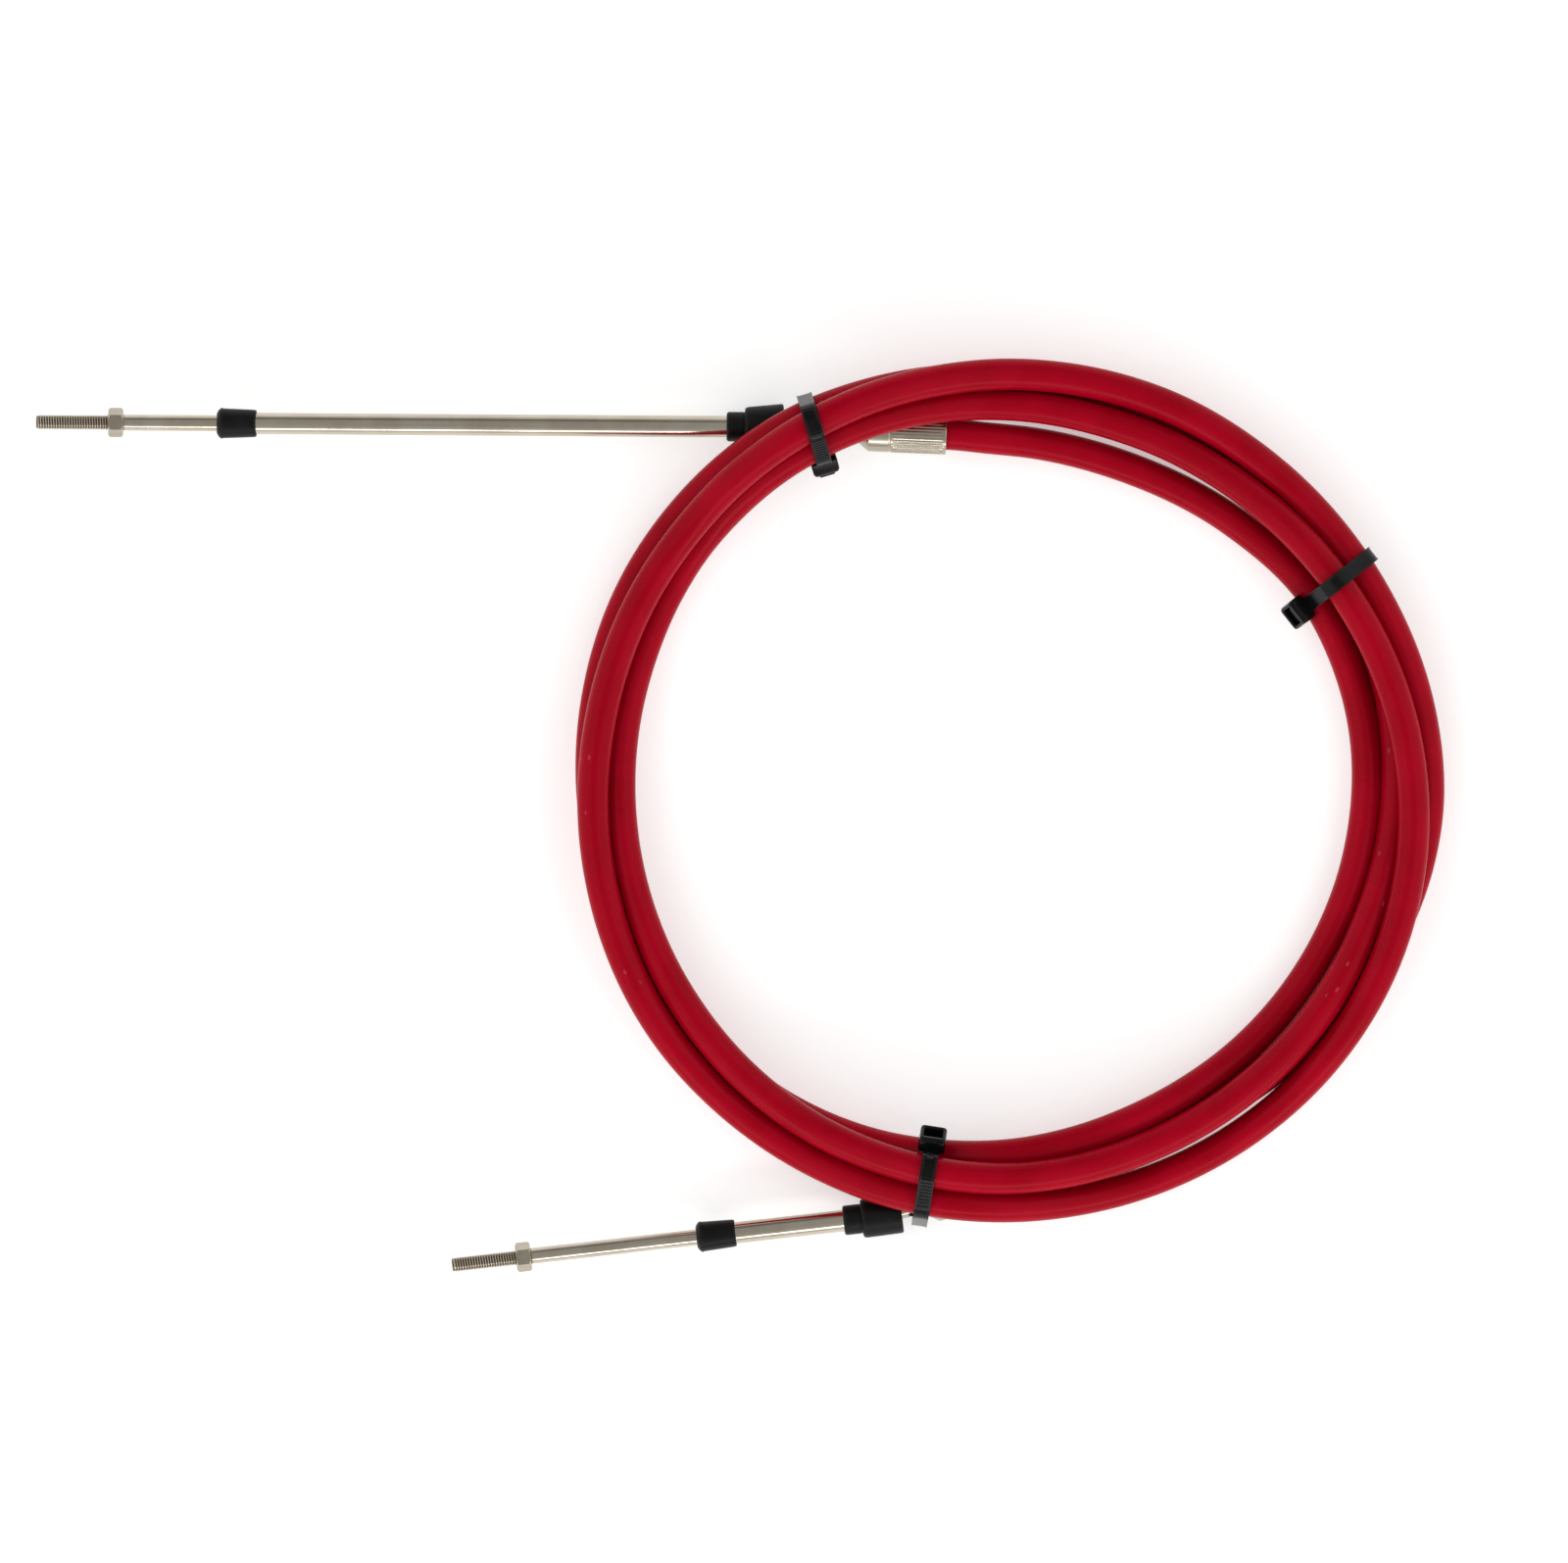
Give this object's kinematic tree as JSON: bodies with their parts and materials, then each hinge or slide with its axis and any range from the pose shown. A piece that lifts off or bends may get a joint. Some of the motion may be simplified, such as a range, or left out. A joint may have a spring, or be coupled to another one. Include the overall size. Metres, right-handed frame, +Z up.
{
  "type": "push-pull trim control cable",
  "caption": "Red jacketed push-pull control cable, coiled and tied, with swivelling steel end sleeves, rubber boots and threaded rods.",
  "frame": {"origin": "middle of the footprint, on the surface that the cable lies on", "axes": "+Z up; the first end's rod points along -X, and the coil lies flat in XY"},
  "size_m": [0.4356, 0.2826, 0.0378],
  "materials": {
    "jacket": "satin extruded jacket",
    "stainless": "drawn stainless, bright",
    "steel": "plated steel, satin",
    "rubber": "satin moulded",
    "nylon": "satin moulded"
  },
  "bodies": {
    "coil": {"conduit": "jacket", "hub_1": "steel", "hub_2": "steel", "tie_1": "nylon", "tie_2": "nylon", "tie_3": "nylon"},
    "sleeve_1": {"sleeve_1": "stainless", "boot_1": "rubber", "seal_1": "rubber"},
    "rod_1": {"rod_1": "stainless", "nut_1": "steel"},
    "sleeve_2": {"sleeve_2": "stainless", "boot_2": "rubber", "seal_2": "rubber"},
    "rod_2": {"rod_2": "stainless", "nut_2": "steel"}
  },
  "joints": [
    {"name": "swing_1", "type": "hinge", "parent": "coil", "child": "sleeve_1", "pos_m": [0.00786, 0.12046, 0.00853], "axis": [0, 0, 1], "range_deg": [-11.9, 8.1]},
    {"name": "slide_1", "type": "slide", "parent": "sleeve_1", "child": "rod_1", "axis": [-1, 0.0068, 0], "range_m": [-0.012, 0.034]},
    {"name": "swing_2", "type": "hinge", "parent": "coil", "child": "sleeve_2", "pos_m": [0.04393, -0.12385, 0.00853], "axis": [0, 0, 1], "range_deg": [-0.9, 19.1]},
    {"name": "slide_2", "type": "slide", "parent": "sleeve_2", "child": "rod_2", "axis": [-0.9936, -0.1127, 0], "range_m": [-0.034, 0.012]}
  ],
  "couplings": [
    {"joint": "slide_2", "follows": "slide_1", "ratio": -1}
  ]
}
